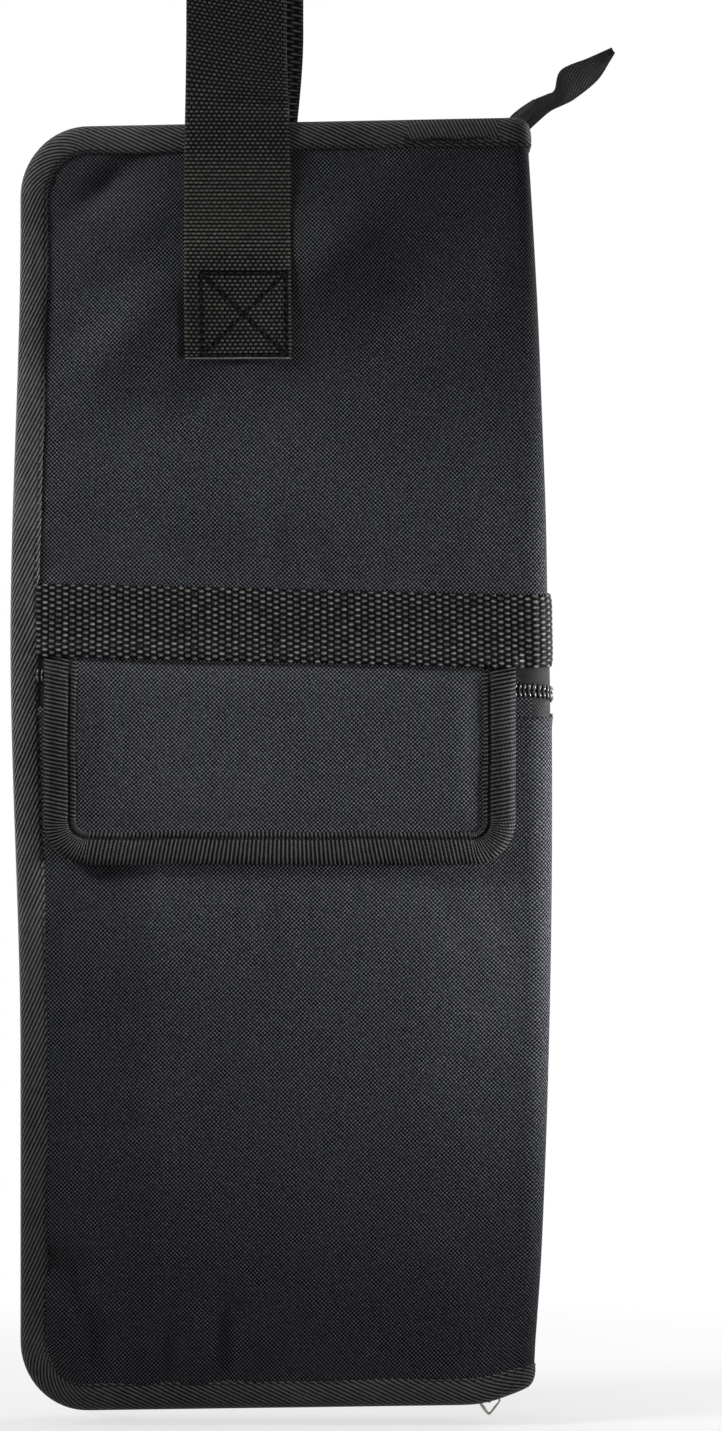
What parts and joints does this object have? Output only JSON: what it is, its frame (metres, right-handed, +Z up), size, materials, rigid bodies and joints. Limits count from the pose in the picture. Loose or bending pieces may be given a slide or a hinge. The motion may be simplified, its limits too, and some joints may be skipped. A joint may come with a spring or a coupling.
{
  "type": "drum stick bag",
  "caption": "Padded book-style drum stick bag with a webbing hang loop, bound edges, a zip round three sides, a belt, a flapped outer zip pocket and stick sleeves inside.",
  "frame": {"origin": "the hang point, under the top of the handle loop, in the middle of its width and of the bag's depth", "axes": "+X across the bag towards its spine, +Y towards the back, +Z up"},
  "size_m": [0.2167, 0.048, 0.5711],
  "materials": {
    "outer_fabric": "black coated basket-weave polyester with a faint blue cast",
    "lining_fabric": "thin black plain-weave lining",
    "binding_tape": "black ribbed twill tape",
    "webbing": "black woven webbing with cross ribs",
    "foam": "grey closed-cell foam sheet",
    "zip_tape": "black herringbone zip tape",
    "zip_teeth": "black nylon coil",
    "slider_enamel": "black enamel on die-cast zinc",
    "zip_metal": "bright drawn wire"
  },
  "bodies": {
    "back": {"back_shell": "outer_fabric", "back_padding": "foam", "back_lining": "lining_fabric", "back_binding": "binding_tape", "back_zip_tape": "zip_tape", "back_zip_teeth": "zip_teeth", "back_zip_stops": "zip_metal", "back_belt": "webbing", "back_pocket_panel": "outer_fabric", "back_pocket_zip_tape": "zip_tape", "back_pocket_zip_teeth": "zip_teeth", "stick_sleeves": "lining_fabric", "sleeve_mouth_tape": "binding_tape", "handle_rear_half": "webbing"},
    "spine": {"spine_shell": "outer_fabric", "spine_padding": "foam", "spine_lining": "lining_fabric", "spine_binding": "binding_tape", "spine_belt": "webbing", "spine_pocket_panel": "outer_fabric", "spine_pocket_zip_tape": "zip_tape", "spine_pocket_zip_teeth": "zip_teeth", "zip_tail": "zip_tape"},
    "cover": {"cover_shell": "outer_fabric", "cover_padding": "foam", "cover_lining": "lining_fabric", "cover_binding": "binding_tape", "cover_zip_tape": "zip_tape", "cover_zip_teeth": "zip_teeth", "cover_zip_stops": "zip_metal", "front_belt": "webbing", "front_pocket_panel": "outer_fabric", "front_pocket_zip_tape": "zip_tape", "front_pocket_zip_teeth": "zip_teeth", "handle_front_half": "webbing"},
    "flap": {"flap_panel": "outer_fabric", "flap_padding": "foam", "flap_lining": "lining_fabric", "flap_binding": "binding_tape"},
    "main_slider": {"main_slider": "slider_enamel"},
    "main_pull": {"main_pull_ring": "zip_metal"},
    "pocket_slider": {"pocket_slider": "slider_enamel"},
    "pocket_pull": {"pocket_pull_ring": "zip_metal"}
  },
  "joints": [
    {"name": "spine_fold", "type": "hinge", "parent": "back", "child": "spine", "pos_m": [0.11, 0.015, -0.335], "axis": [0, 0, 1], "range_deg": [0, 90]},
    {"name": "cover_fold", "type": "hinge", "parent": "spine", "child": "cover", "pos_m": [0.11, -0.015, -0.335], "axis": [0, 0, 1], "range_deg": [0, 90]},
    {"name": "flap_lift", "type": "hinge", "parent": "cover", "child": "flap", "pos_m": [0.015, -0.0167, -0.2982], "axis": [-1, 0, 0], "range_deg": [0, 150]},
    {"name": "main_slide", "type": "slide", "parent": "back", "child": "main_slider", "axis": [-1, 0, 0], "range_m": [0, 0.136]},
    {"name": "main_pull_swing", "type": "hinge", "parent": "main_slider", "child": "main_pull", "pos_m": [0.09, 0, -0.56265], "axis": [1, 0, 0], "range_deg": [-80, 80]},
    {"name": "pocket_slide", "type": "slide", "parent": "back", "child": "pocket_slider", "axis": [1, 0, 0], "range_m": [0, 0.148]},
    {"name": "pocket_pull_swing", "type": "hinge", "parent": "pocket_slider", "child": "pocket_pull", "pos_m": [-0.05, 0.02065, -0.309], "axis": [1, 0, 0], "range_deg": [0, 150]}
  ],
  "couplings": [
    {"joint": "cover_fold", "follows": "spine_fold", "ratio": 1}
  ]
}
